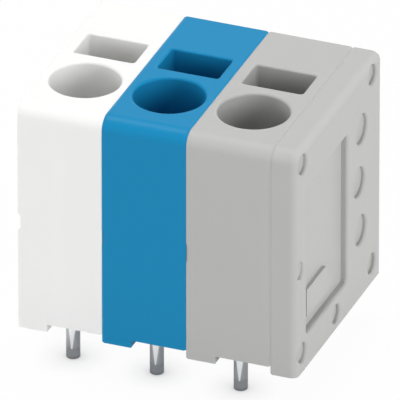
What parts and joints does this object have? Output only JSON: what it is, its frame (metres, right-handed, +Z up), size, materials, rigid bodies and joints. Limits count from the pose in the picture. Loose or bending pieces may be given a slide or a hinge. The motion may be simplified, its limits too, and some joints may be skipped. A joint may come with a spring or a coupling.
{
  "type": "push-in pcb terminal block",
  "caption": "Row of joined insulating discs with round wire entries, screwdriver slots and solder pins, closed by a flat end cover.",
  "frame": {"origin": "midway between all solder pins, on the plane of the circuit board that the feet stand on", "axes": "+X from pole to pole towards the end cover, +Y from the wire entries to the blank rear, +Z up out of the wire entries"},
  "size_m": [0.025, 0.0193, 0.0249],
  "materials": {
    "white_plastic": "fine satin moulding",
    "blue_plastic": "fine satin moulding",
    "grey_plastic": "fine satin moulding",
    "tinned_copper_alloy": "bright tin plating",
    "spring_steel": "rolled strip"
  },
  "bodies": {
    "root": {"housing_white": "white_plastic", "contact_bar_white": "tinned_copper_alloy", "clamp_spring_white": "spring_steel", "housing_blue": "blue_plastic", "contact_bar_blue": "tinned_copper_alloy", "clamp_spring_blue": "spring_steel", "housing_grey": "grey_plastic", "contact_bar_grey": "tinned_copper_alloy", "clamp_spring_grey": "spring_steel", "end_cover": "grey_plastic"}
  },
  "joints": []
}
